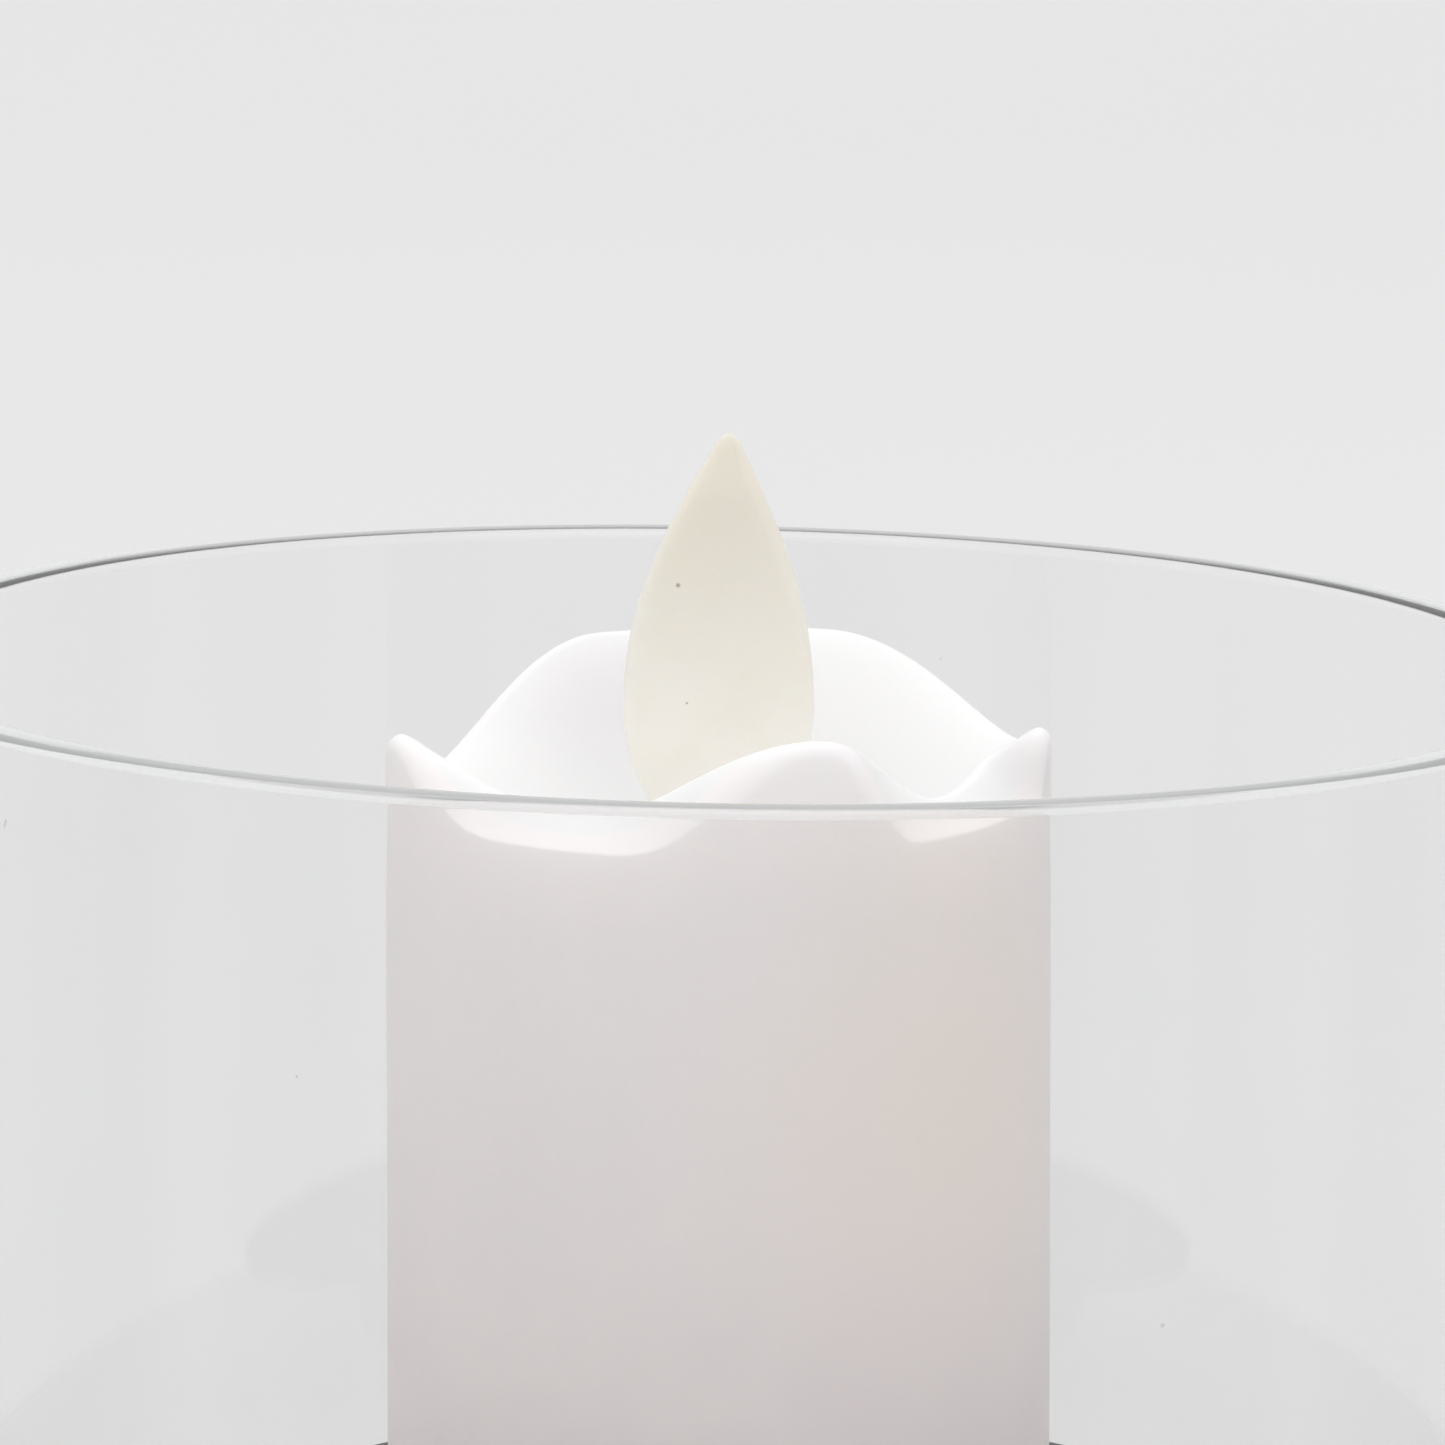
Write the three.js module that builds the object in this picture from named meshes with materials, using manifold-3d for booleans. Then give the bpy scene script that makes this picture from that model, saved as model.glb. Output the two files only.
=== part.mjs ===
// Tealight holder: a clear glass cylinder that drops over the low boss of a grey wooden base,
// with a black metal cup in the middle that holds a battery tealight. The tealight's flame is a
// thin vane that hangs on a wire and sways when a coil pushes the magnet at its lower end.
// Units are millimetres, +Z is up, the front faces -Y, and the origin is the middle of the
// underside, at the height of the felt pads.

import * as THREE from 'three';
import { mergeVertices } from 'three/addons/utils/BufferGeometryUtils.js';
import Module from 'manifold-3d';

const wasm = await Module();
wasm.setup();

// ---------------------------------------------------------------- driving dimensions

const REST_GAP = 0.1;              // between a loose piece and what it stands on
const FIT_GAP = 0.3;               // between fitted pieces

// Base, cup and glass
const PAD_RADIUS = 6;
const PAD_HEIGHT = 1.5;
const PAD_CIRCLE = 44;
const BASE_RADIUS = 57;
const FLANGE_TOP = 10;             // the glass stands here
const BOSS_TOP = 11.2;
const BOSS_RADIUS = 46.6;          // centres the glass
const HOLDER_CUP_FLOOR = 14;       // the tealight stands here
const HOLDER_CUP_RADIUS = 19.6;    // centres the tealight
const HOLDER_CUP_RIM = 20.1;
const HOLDER_CUP_RIM_RADIUS = 27;
const HOLDER_CUP_FOOT_RADIUS = 12;
const SHEET = 1;                   // the cup's sheet metal
const CUP_SCREW_SEAT = 5;
const CUP_SCREW_LENGTH = 8;
const CUP_SCREW_HOLE = 1.3;        // radius of the hole through the base
const CUP_SCREW_HEAD_HOLE = 2.6;
const GLASS_OUTER = 50;
const GLASS_INNER = 47.3;
const GLASS_RIM = 69.4;
const RIM_SLOPE = 0.018;           // the rim is cut a little out of square, higher at -X
const ROUND_SEGMENTS = 64;

// Tealight, measured up from its own foot
const CANDLE_FOOT = HOLDER_CUP_FLOOR + REST_GAP;
const SHELL_RADIUS = 19;
const SHELL_WALL = 1.8;
const LIP_HEIGHT = 52.1;           // mean height of the wavy lip
const BOWL_FLOOR = 42.7;
const BOWL_UNDERSIDE = 41.2;
const BOWL_HOLE_RADIUS = 4.2;

// Wavy lip: [degrees round from the front towards +X, height above the mean lip]
const LIP_WAVE = [
  [17, 1.45], [50, -2.9], [84, -0.5], [112, -2.5], [160, 2.15],
  [202, 2], [245, -4.5], [283, -0.5], [330, -3.6],
];

// Flame vane: [height above the mean lip, half width]
const FLAME_SIDE = [
  [-9.4, 2.6], [-7.6, 2.8], [-6, 3.4], [-4.2, 4.4], [-1.8, 5.25],
  [1, 5.47], [5, 5.03], [9, 3.87], [12.6, 2.3], [15.2, 0.95],
];
const FLAME_TIP = 16.1;
const FLAME_LEAN = 0.6;            // the tip stands this far towards +X
const FLAME_THICKNESS = 1.6;
const NECK_HALF_WIDTH = 2.6;

// Inside of the tealight
const CHASSIS_RADIUS = SHELL_RADIUS - SHELL_WALL - FIT_GAP;
const CHASSIS_BOTTOM = 0.5;
const CHASSIS_TOP = 9.6;
const CELL_Y = 2.8;                // the cell sits back to leave room for the switch
const CELL_RADIUS = 12.25;
const CELL_BOTTOM = 2.5;
const CELL_TOP = 7.5;
const POCKET_RADIUS = 12.5;
const POCKET_TOP = 8.4;
const DOOR_RADIUS = 12.9;
const DOOR_TOP = 2.2;
const DOOR_SCREW_SEAT = CHASSIS_BOTTOM + 1;
const DOOR_EAR = [-9.8, -7.5];
const DOOR_EAR_RADIUS = 2.3;
const SWITCH_Y = -13.4;
const SWITCH_SIZE = [8.4, 3.4, 3.4];
const SWITCH_FLOOR = 1.7;
const KNOB_TRAVEL = 2;
const KNOB_SIZE = [1.5, 1.4];
const SLIDER_SIZE = [2.2, 1.7, 1.2];
const POST_CIRCLE = 14.3;
const POST_RADIUS = 1.9;
const POST_TOP = 31.7;
const POST_ANGLES = [60, 180, 300];
const PILOT_RADIUS = 1.1;
const BOARD_BOTTOM = 14.8;
const BOARD_TOP = 16.2;
const BOARD_RADIUS = 15.6;
const BOARD_SCREWS = [[-9.5, 5], [9.5, 5]];
const COIL_BOTTOM = BOARD_TOP + FIT_GAP;
const COIL_TOP = 24.5;
const COIL_FLANGE_RADIUS = 6;
const COIL_HUB_RADIUS = 2.5;
const COIL_BORE_RADIUS = 1.3;
const FRAME_BOTTOM = POST_TOP + FIT_GAP;
const FRAME_TOP = 33.5;
const PIVOT_HEIGHT = 38.3;
const WIRE_RADIUS = 0.4;
const WIRE_HALF_LENGTH = 6.7;
const UPRIGHT_Y = 6.1;
const UPRIGHT_SIZE = [2.6, 1.6, 5.8];
const MAGNET_RADIUS = 3.5;
const MAGNET_BOTTOM = 27.4;
const MAGNET_TOP = 30.4;
const CUP_RADIUS = 4.4;
const LED_FOOT = new THREE.Vector3(7, -9, 35);
const LED_TARGET = new THREE.Vector3(0.5, -1.5, 43);
const LED_RADIUS = 1.5;
const SMALL_SEGMENTS = 24;

// ---------------------------------------------------------------- materials

const finish = (color, roughness, metalness = 0) =>
  new THREE.MeshStandardMaterial({ color, roughness, metalness });

const greyWood = () => finish(0xb5b2ad, 0.55);
const blackSteel = () => finish(0x1a191b, 0.5);
const blackFelt = () => finish(0x1c1b1c, 0.95);
const blackPlastic = () => finish(0x1b1b1d, 0.5);
const whitePlastic = () => finish(0xe6e3e2, 0.42);
const ivoryPlastic = () => finish(0xe8dfc6, 0.38);
const steel = () => finish(0xb9bbbe, 0.3, 1);
const copper = () => finish(0xb8693a, 0.35, 1);
const greenBoard = () => finish(0x1f5a34, 0.5);

function clearGlass() {
  const material = finish(0xf4f6f6, 0.02);
  material.transparent = true;
  material.opacity = 0.25;
  return material;
}

// ---------------------------------------------------------------- geometry helpers

const point = (x, y) => new THREE.Vector2(x, y);
const radians = THREE.MathUtils.degToRad;

// A place on a circle, at an angle round from the front towards +X.
function around(radius, degrees) {
  return [radius * Math.sin(radians(degrees)), -radius * Math.cos(radians(degrees))];
}

function signedVolume(positions, index) {
  const corner = (i) => new THREE.Vector3().fromBufferAttribute(positions, index[i]);
  let volume = 0;
  for (let i = 0; i < index.length; i += 3) {
    volume += corner(i).dot(corner(i + 1).cross(corner(i + 2))) / 6;
  }
  return volume;
}

// Merges shared vertices, drops empty triangles and turns the faces outwards.
function welded(geometry) {
  const bare = geometry.clone();
  bare.deleteAttribute('normal');
  bare.deleteAttribute('uv');
  const merged = mergeVertices(bare, 1e-4);
  const source = merged.index.array;
  const index = [];
  for (let i = 0; i < source.length; i += 3) {
    const [a, b, c] = source.slice(i, i + 3);
    if (a !== b && b !== c && c !== a) {
      index.push(a, b, c);
    }
  }
  if (signedVolume(merged.attributes.position, index) < 0) {
    index.reverse();
  }
  merged.setIndex(index);
  return merged;
}

function toSolid(geometry) {
  const merged = welded(geometry);
  const mesh = new wasm.Mesh({
    numProp: 3,
    vertProperties: new Float32Array(merged.attributes.position.array),
    triVerts: new Uint32Array(merged.index.array),
  });
  return new wasm.Manifold(mesh);
}

function toGeometry(solid) {
  const mesh = solid.getMesh();
  const geometry = new THREE.BufferGeometry();
  geometry.setAttribute('position', new THREE.BufferAttribute(mesh.vertProperties, 3));
  geometry.setIndex(new THREE.BufferAttribute(mesh.triVerts, 1));
  return geometry;
}

// Joins the first list of geometries and cuts the second list out of them.
function carve(added, removed = []) {
  let solid = toSolid(added[0]);
  for (const geometry of added.slice(1)) {
    solid = solid.add(toSolid(geometry));
  }
  for (const geometry of removed) {
    solid = solid.subtract(toSolid(geometry));
  }
  return toGeometry(solid);
}

// Turns a profile of (radius, height) points about the Z axis.
function turned(profile, segments = SMALL_SEGMENTS) {
  return new THREE.LatheGeometry(profile, segments).rotateX(Math.PI / 2);
}

function box(width, depth, bottom, top, x = 0, y = 0) {
  const geometry = new THREE.BoxGeometry(width, depth, top - bottom);
  return geometry.translate(x, y, (bottom + top) / 2);
}

function cylinder(radius, bottom, top, x = 0, y = 0, segments = SMALL_SEGMENTS) {
  const geometry = new THREE.CylinderGeometry(radius, radius, top - bottom, segments);
  return geometry.rotateX(Math.PI / 2).translate(x, y, (bottom + top) / 2);
}

// A rod of round section along a list of points.
function rod(points, radius, steps, sides = 8) {
  const section = new THREE.Shape();
  section.absarc(0, 0, radius, 0, Math.PI * 2, false);
  const path = new THREE.CatmullRomCurve3(points, false, 'centripetal');
  return new THREE.ExtrudeGeometry(section, {
    steps,
    curveSegments: sides / 2,
    extrudePath: path,
  });
}

const candle = new THREE.Group();
candle.position.z = CANDLE_FOOT;

function place(parent, name, geometry, material) {
  const mesh = new THREE.Mesh(welded(geometry), material);
  mesh.name = name;
  parent.add(mesh);
  return mesh;
}

// ---------------------------------------------------------------- holder

// Turned disc with a rounded rim, a flange for the glass and a low boss inside the glass. The cup's
// screw comes up through a counterbored hole in the middle.
function baseBody() {
  const bottom = PAD_HEIGHT;
  const disc = turned([
    point(0, bottom), point(BASE_RADIUS - 1.5, bottom), point(BASE_RADIUS, bottom + 1.5),
    point(BASE_RADIUS, FLANGE_TOP - 1.6), point(BASE_RADIUS - 0.5, FLANGE_TOP - 0.5),
    point(BASE_RADIUS - 1.6, FLANGE_TOP), point(BOSS_RADIUS, FLANGE_TOP),
    point(BOSS_RADIUS, BOSS_TOP - 0.4), point(BOSS_RADIUS - 0.4, BOSS_TOP), point(0, BOSS_TOP),
  ], ROUND_SEGMENTS);
  const shankHole = cylinder(CUP_SCREW_HOLE, 0, BOSS_TOP + 1);
  const headHole = cylinder(CUP_SCREW_HEAD_HOLE, 0, CUP_SCREW_SEAT);
  return carve([disc], [shankHole, headHole]);
}

// Black metal cup with a flared rim and a solid foot that the screw bites into.
function candleCup() {
  const floor = HOLDER_CUP_FLOOR;
  const wall = HOLDER_CUP_RADIUS + SHEET;
  const rimBottom = HOLDER_CUP_RIM - SHEET;
  const cup = turned([
    point(0, BOSS_TOP + REST_GAP), point(HOLDER_CUP_FOOT_RADIUS, BOSS_TOP + REST_GAP),
    point(HOLDER_CUP_FOOT_RADIUS, floor - SHEET), point(wall - 0.6, floor - SHEET),
    point(wall, floor - SHEET + 0.6), point(wall, rimBottom - 0.8), point(wall + 0.8, rimBottom),
    point(HOLDER_CUP_RIM_RADIUS, rimBottom), point(HOLDER_CUP_RIM_RADIUS, HOLDER_CUP_RIM),
    point(wall + 0.4, HOLDER_CUP_RIM), point(HOLDER_CUP_RADIUS, HOLDER_CUP_RIM - 1),
    point(HOLDER_CUP_RADIUS, floor), point(0, floor),
  ], ROUND_SEGMENTS);
  return carve([cup], [cylinder(PILOT_RADIUS, BOSS_TOP - 1, floor - SHEET / 2)]);
}

// Driven from below, through the base into the cup's foot.
function cupScrew() {
  const upwards = screw([0, 0], 0, CUP_SCREW_LENGTH).rotateX(Math.PI);
  return upwards.translate(0, 0, CUP_SCREW_SEAT - REST_GAP);
}

// Straight tube with eased edges and a slightly sloping rim.
function glassCylinder() {
  const foot = FLANGE_TOP + REST_GAP;
  const ease = 0.5;
  const profile = [
    point(GLASS_INNER, foot + ease), point(GLASS_INNER + ease, foot),
    point(GLASS_OUTER - ease, foot), point(GLASS_OUTER, foot + ease),
    point(GLASS_OUTER, GLASS_RIM - ease), point(GLASS_OUTER - ease, GLASS_RIM),
    point(GLASS_INNER + ease, GLASS_RIM), point(GLASS_INNER, GLASS_RIM - ease),
    point(GLASS_INNER, foot + ease),
  ];
  const tube = turned(profile, ROUND_SEGMENTS);
  const positions = tube.attributes.position;
  for (let i = 0; i < positions.count; i += 1) {
    const isRim = positions.getZ(i) > GLASS_RIM - 2 * ease;
    positions.setZ(i, positions.getZ(i) - (isRim ? RIM_SLOPE * positions.getX(i) : 0));
  }
  return tube;
}

function feltPad(degrees) {
  const [x, y] = around(PAD_CIRCLE, degrees);
  return cylinder(PAD_RADIUS, 0, PAD_HEIGHT - REST_GAP / 2, x, y);
}

// ---------------------------------------------------------------- tealight shell

// Height of the wavy lip above its mean, eased from each crest and trough to the next.
function lipHeight(degrees) {
  const turn = ((degrees - LIP_WAVE[0][0]) % 360 + 360) % 360 + LIP_WAVE[0][0];
  const stations = [...LIP_WAVE, [LIP_WAVE[0][0] + 360, LIP_WAVE[0][1]]];
  const next = stations.findIndex(([angle]) => angle > turn);
  const [fromAngle, fromHeight] = stations[next - 1];
  const [toAngle, toHeight] = stations[next];
  const share = (turn - fromAngle) / (toAngle - fromAngle);
  return fromHeight + (toHeight - fromHeight) * (1 - Math.cos(Math.PI * share)) / 2;
}

// Outer wall, rounded lip and bowl in one thin skin. Each profile point carries the share
// of the lip's wave that it follows.
function candleShell() {
  const inner = SHELL_RADIUS - SHELL_WALL;
  const lip = LIP_HEIGHT;
  const rows = [
    [SHELL_RADIUS, 0, 0], [SHELL_RADIUS, 40, 0], [SHELL_RADIUS, 46, 0.3],
    [SHELL_RADIUS, lip - 0.9, 1], [SHELL_RADIUS - 0.25, lip - 0.25, 1],
    [SHELL_RADIUS - 0.85, lip, 1], [SHELL_RADIUS - 1.5, lip - 0.25, 1],
    [inner - 0.05, lip - 0.6, 0.97], [16, lip - 1.9, 0.82], [14.2, lip - 4.5, 0.55],
    [12, lip - 7.2, 0.25], [9, BOWL_FLOOR + 0.4, 0.05], [BOWL_HOLE_RADIUS, BOWL_FLOOR, 0],
    [BOWL_HOLE_RADIUS, BOWL_UNDERSIDE, 0], [9.3, BOWL_UNDERSIDE + 0.6, 0],
    [13.3, BOWL_UNDERSIDE + 2, 0.2], [15.9, BOWL_UNDERSIDE + 3.6, 0.45],
    [inner, BOWL_UNDERSIDE + 4.8, 0.55], [inner, 38, 0], [inner, 0, 0],
    [SHELL_RADIUS, 0, 0],
  ];
  const geometry = turned(rows.map(([r, z]) => point(r, z)), ROUND_SEGMENTS);
  const positions = geometry.attributes.position;
  for (let i = 0; i < positions.count; i += 1) {
    const share = rows[i % rows.length][2];
    const degrees = THREE.MathUtils.radToDeg(Math.atan2(positions.getX(i), -positions.getY(i)));
    positions.setZ(i, positions.getZ(i) + share * lipHeight(degrees));
  }
  return geometry;
}

// ---------------------------------------------------------------- flame

// Leaf-shaped vane with a neck, a pivot eye and a cup for the magnet.
function flame() {
  const leanAt = (height) => FLAME_LEAN * (Math.max(height, 0) / FLAME_TIP) ** 2;
  const side = (sign) => FLAME_SIDE.map(([height, half]) => (
    point(leanAt(height) + sign * half, LIP_HEIGHT + height)
  ));
  const bevel = 0.4;
  const neckBottom = MAGNET_TOP + FIT_GAP + 0.6;
  const outline = new THREE.Shape();
  outline.moveTo(NECK_HALF_WIDTH - bevel, neckBottom);
  const right = side(1);
  outline.lineTo(right[0].x - bevel, right[0].y);
  const inset = ({ x, y }, towards) => point(x - towards * bevel, y);
  outline.splineThru(right.slice(1).map((p) => inset(p, 1)));
  outline.lineTo(FLAME_LEAN, LIP_HEIGHT + FLAME_TIP - bevel);
  const left = side(-1).reverse().map((p) => inset(p, -1));
  outline.lineTo(left[0].x, left[0].y);
  outline.splineThru(left.slice(1));
  outline.lineTo(bevel - NECK_HALF_WIDTH, neckBottom);
  const vane = new THREE.ExtrudeGeometry(outline, {
    depth: FLAME_THICKNESS - 2 * bevel,
    curveSegments: 2,
    bevelThickness: bevel,
    bevelSize: bevel,
    bevelSegments: 2,
  });
  vane.translate(0, 0, bevel - FLAME_THICKNESS / 2);
  vane.rotateX(Math.PI / 2);
  const eyeRadius = WIRE_RADIUS + FIT_GAP;
  const eye = new THREE.CylinderGeometry(eyeRadius, eyeRadius, 2 * FLAME_THICKNESS, 16);
  eye.translate(0, 0, PIVOT_HEIGHT);
  const cup = cylinder(CUP_RADIUS, MAGNET_BOTTOM - 0.2, neckBottom + 0.4);
  const bore = cylinder(MAGNET_RADIUS + 0.2, MAGNET_BOTTOM - 1, MAGNET_TOP + FIT_GAP);
  return carve([vane, cup], [eye, bore]);
}

function flameMagnet() {
  return cylinder(MAGNET_RADIUS, MAGNET_BOTTOM, MAGNET_TOP);
}

function pivotWire() {
  const geometry = new THREE.CylinderGeometry(WIRE_RADIUS, WIRE_RADIUS, 2 * WIRE_HALF_LENGTH, 12);
  return geometry.translate(0, 0, PIVOT_HEIGHT);
}

// ---------------------------------------------------------------- light and pivot frame

// Stands a piece that was made along +Z on the LED's slanted axis.
function alongLed(geometry) {
  const axis = LED_TARGET.clone().sub(LED_FOOT).normalize();
  const turn = new THREE.Quaternion().setFromUnitVectors(new THREE.Vector3(0, 0, 1), axis);
  return geometry.applyQuaternion(turn).translate(...LED_FOOT);
}

function led() {
  const flangeRadius = LED_RADIUS + 0.4;
  const domeSteps = 4;
  const profile = [
    point(0, 0), point(flangeRadius, 0), point(flangeRadius, 1), point(LED_RADIUS, 1),
  ];
  for (let i = 0; i <= domeSteps; i += 1) {
    const angle = (Math.PI / 2) * (i / domeSteps);
    profile.push(point(LED_RADIUS * Math.cos(angle), 3.8 + LED_RADIUS * Math.sin(angle)));
  }
  return alongLed(turned(profile, 16));
}

function ledLead(side) {
  const axis = LED_TARGET.clone().sub(LED_FOOT).normalize();
  const start = LED_FOOT.clone().addScaledVector(axis, -FIT_GAP);
  start.x += side * 0.5;
  start.y += side * 0.5;
  const bend = start.clone().addScaledVector(axis, -1.6);
  const bottom = new THREE.Vector3(bend.x + 0.6 + side * 0.4, bend.y - 0.4, BOARD_TOP + FIT_GAP);
  const middle = new THREE.Vector3(bottom.x, bottom.y, 30);
  return rod([start, bend, middle, bottom], 0.22, 12, 6);
}

// Plate with two uprights for the flame's wire and a slanted socket for the LED.
function pivotFrame() {
  const plate = cylinder(CHASSIS_RADIUS - 0.3, FRAME_BOTTOM, FRAME_TOP, 0, 0, 40);
  const socket = alongLed(cylinder(LED_RADIUS + 1.1, 1.3, 4));
  const brace = box(2.6, 2.6, FRAME_TOP - 0.5, 36.4, 5.5, -7.3);
  const added = [plate, socket, brace];
  const removed = [
    box(13.2, 9.6, FRAME_BOTTOM - 1, FRAME_TOP + 0.01),
    alongLed(cylinder(LED_RADIUS + FIT_GAP, 0, 6)),
    alongLed(cylinder(LED_RADIUS + 0.8, -2, 1.3)),
    box(4.6, 3.2, FRAME_BOTTOM - 1, FRAME_TOP + 1, 9, -10.8),
  ];
  for (const side of [-1, 1]) {
    const [width, depth, height] = UPRIGHT_SIZE;
    added.push(box(width, depth, FRAME_TOP - 0.5, FRAME_TOP + height, 0, side * UPRIGHT_Y));
  }
  for (const degrees of POST_ANGLES) {
    removed.push(cylinder(1.3, FRAME_BOTTOM - 1, FRAME_TOP + 1, ...around(POST_CIRCLE, degrees), 16));
  }
  const wireHole = WIRE_RADIUS + FIT_GAP / 3;
  const wire = new THREE.CylinderGeometry(wireHole, wireHole, 4 * WIRE_HALF_LENGTH, 12);
  removed.push(wire.translate(0, 0, PIVOT_HEIGHT));
  return carve(added, removed);
}

// ---------------------------------------------------------------- coil and board

function coilBobbin() {
  const flange = 0.9;
  return turned([
    point(COIL_BORE_RADIUS, COIL_BOTTOM), point(COIL_FLANGE_RADIUS, COIL_BOTTOM),
    point(COIL_FLANGE_RADIUS, COIL_BOTTOM + flange), point(COIL_HUB_RADIUS, COIL_BOTTOM + flange),
    point(COIL_HUB_RADIUS, COIL_TOP - flange), point(COIL_FLANGE_RADIUS, COIL_TOP - flange),
    point(COIL_FLANGE_RADIUS, COIL_TOP), point(COIL_BORE_RADIUS, COIL_TOP),
    point(COIL_BORE_RADIUS, COIL_BOTTOM),
  ]);
}

function coilWinding() {
  const inner = COIL_HUB_RADIUS + 0.2;
  const outer = COIL_FLANGE_RADIUS - 0.5;
  const bottom = COIL_BOTTOM + 1.1;
  const top = COIL_TOP - 1.1;
  return turned([
    point(inner, bottom), point(outer, bottom), point(outer + 0.25, (bottom + top) / 2),
    point(outer, top), point(inner, top), point(inner, bottom),
  ]);
}

function circuitBoard() {
  const board = cylinder(BOARD_RADIUS, BOARD_BOTTOM, BOARD_TOP, 0, 0, 40);
  const notches = POST_ANGLES.map((degrees) => (
    cylinder(POST_RADIUS + 0.4, BOARD_BOTTOM - 1, BOARD_TOP + 1, ...around(POST_CIRCLE, degrees), 16)
  ));
  const holes = BOARD_SCREWS.map(([x, y]) => cylinder(1.3, BOARD_BOTTOM - 1, BOARD_TOP + 1, x, y, 16));
  return carve([board], [...notches, ...holes]);
}

function driverChip() {
  return box(5, 4, BOARD_TOP + 0.2, BOARD_TOP + 1.7, -9, -3.5);
}

function capacitor() {
  const [x, y] = [-6.2, 9.8];
  const bottom = BOARD_TOP + 0.2;
  const can = turned([
    point(0, bottom), point(2, bottom), point(2, bottom + 0.9), point(1.8, bottom + 1.1),
    point(2, bottom + 1.3), point(2, bottom + 5.2), point(1.7, bottom + 5.5), point(0, bottom + 5.5),
  ]);
  return can.translate(x, y, 0);
}

function resistor(x) {
  return box(1.2, 2, BOARD_TOP + 0.2, BOARD_TOP + 0.75, x, 9.6);
}

// ---------------------------------------------------------------- fasteners

// Pan-head screw that points down, with its head's underside at the given height.
function screw([x, y], seat, length) {
  const shank = 0.8;
  const body = turned([
    point(0, seat - length), point(shank * 0.4, seat - length + 0.3),
    point(shank, seat - length + 1.2), point(shank, seat), point(1.8, seat),
    point(1.8, seat + 0.6), point(1.3, seat + 1.1), point(0, seat + 1.2),
  ], 12);
  const slots = [box(2, 0.45, seat + 0.6, seat + 2), box(0.45, 2, seat + 0.6, seat + 2)];
  return carve([body], slots).translate(x, y, 0);
}

// ---------------------------------------------------------------- battery compartment

// Moulded floor of the tealight: cell pocket, door recess, switch pocket and posts.
function chassis() {
  const added = [cylinder(CHASSIS_RADIUS, CHASSIS_BOTTOM, CHASSIS_TOP, 0, 0, 48)];
  const removed = [
    cylinder(POCKET_RADIUS, CHASSIS_BOTTOM - 1, POCKET_TOP, 0, CELL_Y, 40),
    cylinder(DOOR_RADIUS + FIT_GAP, CHASSIS_BOTTOM - 1, DOOR_TOP + 0.2, 0, CELL_Y, 40),
    cylinder(DOOR_EAR_RADIUS + FIT_GAP, CHASSIS_BOTTOM - 1, DOOR_TOP + 0.2, ...DOOR_EAR),
    cylinder(PILOT_RADIUS, DOOR_TOP, 7, ...DOOR_EAR, 12),
    box(SWITCH_SIZE[0] + 0.6, SWITCH_SIZE[1] + 0.6, SWITCH_FLOOR, CHASSIS_TOP + 1, 0, SWITCH_Y),
    box(KNOB_SIZE[0] + KNOB_TRAVEL + 0.8, KNOB_SIZE[1] + 0.8, -1, SWITCH_FLOOR + 1, 0, SWITCH_Y),
    box(3.6, 1, POCKET_TOP - 0.5, CHASSIS_TOP + 1, 0, -6.2),
    box(1.1, 4.2, DOOR_TOP + 1, CHASSIS_TOP + 1, POCKET_RADIUS + 0.4, CELL_Y),
  ];
  for (const degrees of POST_ANGLES) {
    const [x, y] = around(POST_CIRCLE, degrees);
    added.push(cylinder(POST_RADIUS, CHASSIS_TOP - 1, POST_TOP, x, y, 16));
    removed.push(cylinder(PILOT_RADIUS, POST_TOP - 6, POST_TOP + 1, x, y, 12));
  }
  for (const [x, y] of BOARD_SCREWS) {
    added.push(cylinder(POST_RADIUS, CHASSIS_TOP - 1, BOARD_BOTTOM - 0.1, x, y, 16));
    removed.push(cylinder(PILOT_RADIUS, CHASSIS_TOP + 0.4, BOARD_BOTTOM + 1, x, y, 12));
  }
  return carve(added, removed);
}

function batteryDoor() {
  const [x, y] = DOOR_EAR;
  const disc = cylinder(DOOR_RADIUS, CHASSIS_BOTTOM + 0.1, DOOR_TOP, 0, CELL_Y, 40);
  const ear = cylinder(DOOR_EAR_RADIUS, CHASSIS_BOTTOM + 0.1, DOOR_TOP, x, y);
  const shank = cylinder(PILOT_RADIUS, 0, DOOR_TOP + 1, x, y, 12);
  const head = cylinder(1.95, 0, DOOR_SCREW_SEAT + REST_GAP, x, y);
  const grips = [-1.2, 0, 1.2].map((shift) => box(7, 0.5, 0, CHASSIS_BOTTOM + 0.5, 0, 11 + shift));
  return carve([disc, ear], [shank, head, ...grips]);
}

// The door's screw is driven from below, so it is the same screw turned over.
function doorScrew() {
  const upright = screw([0, 0], 0, 4.6);
  const turnedOver = upright.rotateX(Math.PI).scale(0.85, 0.85, 0.85);
  return turnedOver.translate(...DOOR_EAR, DOOR_SCREW_SEAT);
}

function coinCell() {
  const cell = turned([
    point(0, CELL_BOTTOM), point(CELL_RADIUS - 0.4, CELL_BOTTOM),
    point(CELL_RADIUS, CELL_BOTTOM + 0.4), point(CELL_RADIUS, CELL_TOP - 0.7),
    point(CELL_RADIUS - 0.9, CELL_TOP - 0.5), point(CELL_RADIUS - 1.1, CELL_TOP),
    point(0, CELL_TOP),
  ], 32);
  return cell.translate(0, CELL_Y, 0);
}

function negativeContact() {
  const leaf = box(3, 15, 7.85, 8.1, 0, 1.2);
  const tail = box(3, 0.3, 7.85, BOARD_BOTTOM - FIT_GAP, 0, -6.2);
  const cross = box(9, 3, 7.85, 8.1, 0, 4);
  return carve([leaf, tail, cross]);
}

function positiveContact() {
  const x = POCKET_RADIUS + 0.4;
  const strip = box(0.3, 3.6, 3.2, BOARD_BOTTOM - FIT_GAP, x, CELL_Y);
  const rib = box(0.45, 1.2, 4, 6, x - 0.15, CELL_Y);
  return carve([strip, rib]);
}

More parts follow.
